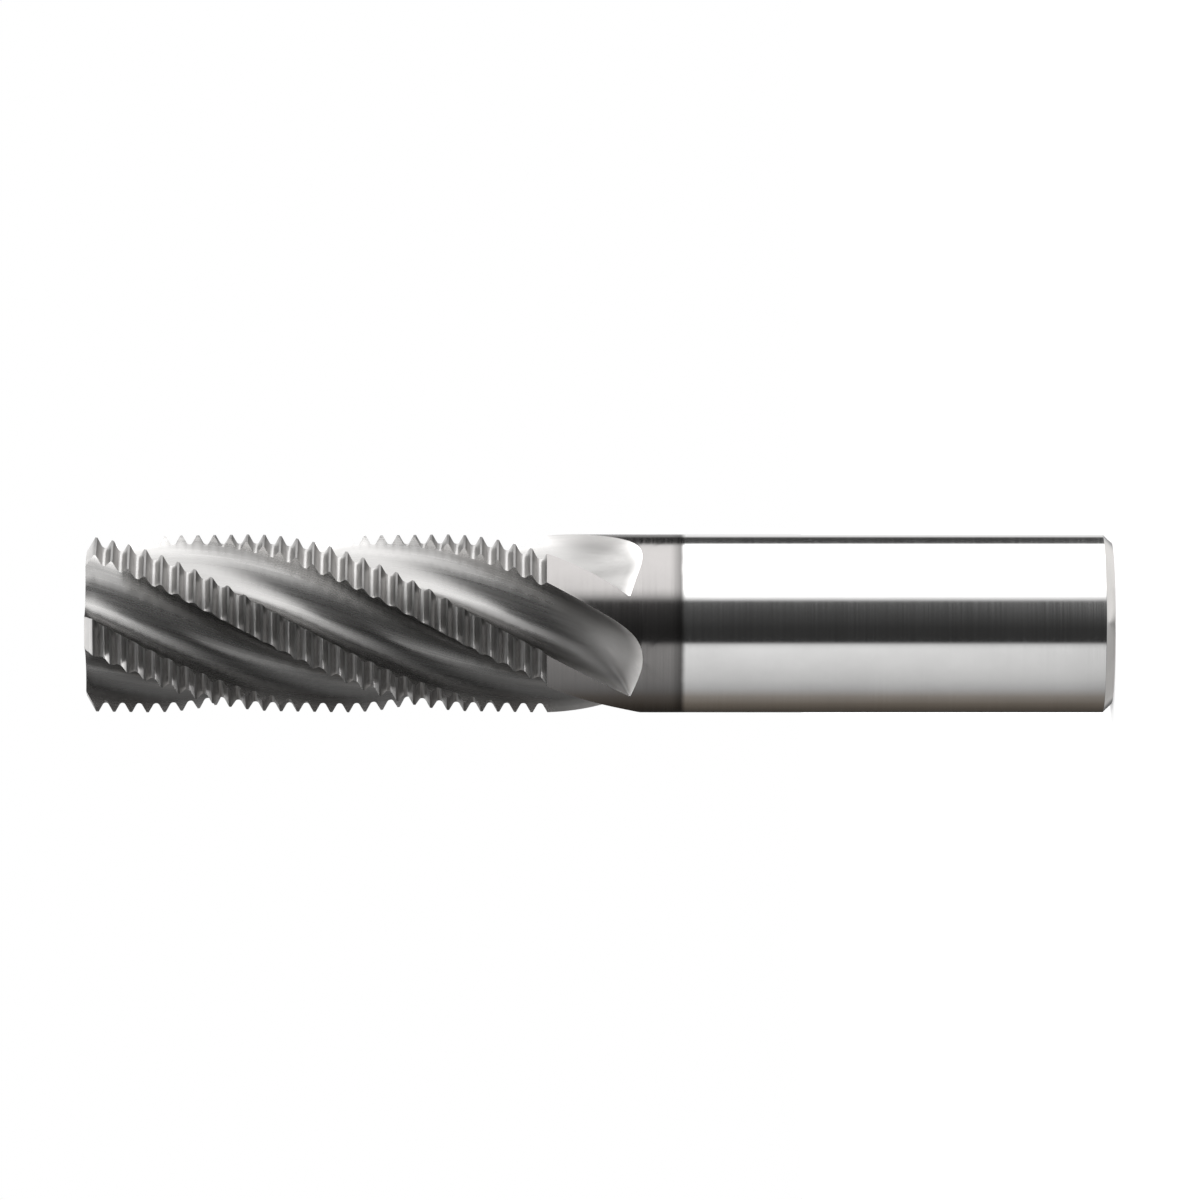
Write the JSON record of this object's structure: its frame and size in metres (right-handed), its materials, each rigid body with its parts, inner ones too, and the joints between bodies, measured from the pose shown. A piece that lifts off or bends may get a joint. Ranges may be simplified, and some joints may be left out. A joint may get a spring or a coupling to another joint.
{
  "type": "thread mill",
  "caption": "Solid carbide thread mill with helical flutes, ring rows of full-form thread teeth and a plain round shank with a chamfered end.",
  "frame": {"origin": "centre of the flat shank end that the tool stands on", "axes": "+Z along the tool's axis, from the shank end to the cutting end; X and Y are square to it, and a viewer at -Y sees the side that the source picture shows"},
  "size_m": [0.016, 0.016, 0.092],
  "materials": {
    "carbide": "satin"
  },
  "bodies": {
    "root": {"thread_mill": "carbide"}
  },
  "joints": []
}
